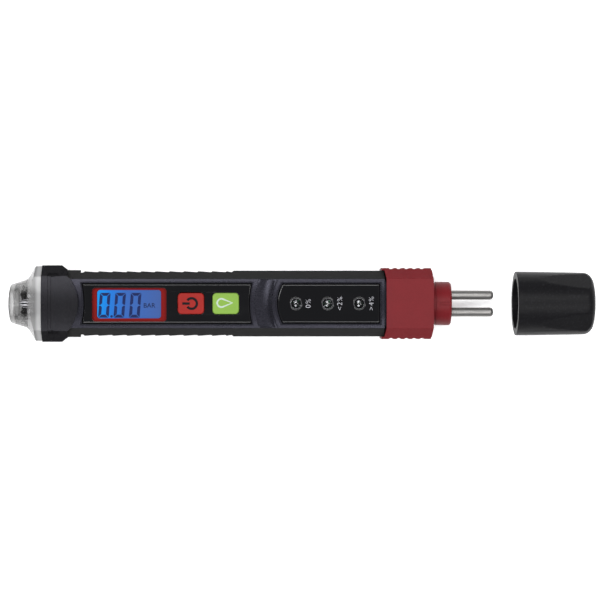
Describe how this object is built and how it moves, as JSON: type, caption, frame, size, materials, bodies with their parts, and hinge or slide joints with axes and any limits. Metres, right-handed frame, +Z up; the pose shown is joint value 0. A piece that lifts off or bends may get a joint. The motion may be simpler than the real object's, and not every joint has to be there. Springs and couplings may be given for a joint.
{
  "type": "moisture meter",
  "caption": "Pen-type brake-fluid moisture tester with a two-pin probe, pull-off cap, warning lamps, digital display and a clear tyre-pressure nozzle.",
  "frame": {"origin": "middle of the bounding box in plan, on the surface the tool lies on", "axes": "+X along the tool towards the probes and the cap, +Z up out of the display, +Y to the left seen from the nozzle"},
  "size_m": [0.1936, 0.0252, 0.0226],
  "materials": {
    "frame_plastic": "fine satin texture",
    "grip_rubber": "matt, moulded ridges",
    "shroud_plastic": "fine satin texture",
    "nozzle_clear": "clear, polished",
    "seal_rubber": "matt",
    "pin_chrome": "bright nickel",
    "air_block_plastic": "satin",
    "nozzle_led_clear": "clear, polished",
    "board_green": "solder mask",
    "tube_silicone": "translucent",
    "sensor_plastic": "satin",
    "chip_plastic": "satin",
    "component_ceramic": "satin",
    "lcd_frame_red": "satin",
    "lcd_blue_glass": "polished",
    "backlight_plastic": "diffusing",
    "panel_gloss": "mirror gloss",
    "lens_clear": "clear, polished",
    "led_clear": "clear, polished",
    "cell_wrap": "printed film",
    "contact_steel": "plated",
    "contact_brass": "bright",
    "collar_red": "satin",
    "button_red": "satin",
    "button_green": "satin",
    "stem_plastic": "satin",
    "cap_plastic": "satin"
  },
  "bodies": {
    "meter": {"front_housing": "frame_plastic", "rear_housing": "frame_plastic", "left_grip": "grip_rubber", "right_grip": "grip_rubber", "head_shroud": "shroud_plastic", "nozzle": "nozzle_clear", "valve_seal": "seal_rubber", "nozzle_oring": "seal_rubber", "lcd_connector_strip": "seal_rubber", "depressor_pin": "pin_chrome", "probe_pin_left": "pin_chrome", "probe_pin_right": "pin_chrome", "air_block": "air_block_plastic", "nozzle_leds": "nozzle_led_clear", "nozzle_led_board": "board_green", "main_pcb": "board_green", "air_tube": "tube_silicone", "pressure_sensor": "sensor_plastic", "processor": "chip_plastic", "power_switch": "chip_plastic", "fluid_switch": "chip_plastic", "small_components": "component_ceramic", "lcd_frame": "lcd_frame_red", "lcd_glass": "lcd_blue_glass", "lcd_backlight": "backlight_plastic", "display_panel": "panel_gloss", "led_panel": "panel_gloss", "lcd_lens": "lens_clear", "led_dry": "led_clear", "led_damp": "led_clear", "led_wet": "led_clear", "battery_cell": "cell_wrap", "battery_spring": "contact_steel", "battery_minus_plate": "contact_steel", "battery_plus_plate": "contact_steel", "housing_screws": "contact_steel", "probe_contacts": "contact_brass", "probe_collar": "collar_red", "probe_holder": "collar_red"},
    "power_key": {"power_button": "button_red", "power_switch_stem": "stem_plastic"},
    "fluid_key": {"fluid_button": "button_green", "fluid_switch_stem": "stem_plastic"},
    "battery_door": {"battery_door": "frame_plastic"},
    "cap": {"cap": "cap_plastic"}
  },
  "joints": [
    {"name": "power_press", "type": "slide", "parent": "meter", "child": "power_key", "axis": [0, 0, -1], "range_m": [0, 0.0004], "stiffness_N_per_m": 500},
    {"name": "fluid_press", "type": "slide", "parent": "meter", "child": "fluid_key", "axis": [0, 0, -1], "range_m": [0, 0.0004], "stiffness_N_per_m": 500},
    {"name": "battery_door_slide", "type": "slide", "parent": "meter", "child": "battery_door", "axis": [1, 0, 0], "range_m": [0, 0.007]},
    {"name": "cap_slide", "type": "slide", "parent": "meter", "child": "cap", "axis": [1, 0, 0], "range_m": [-0.027, 0]}
  ]
}
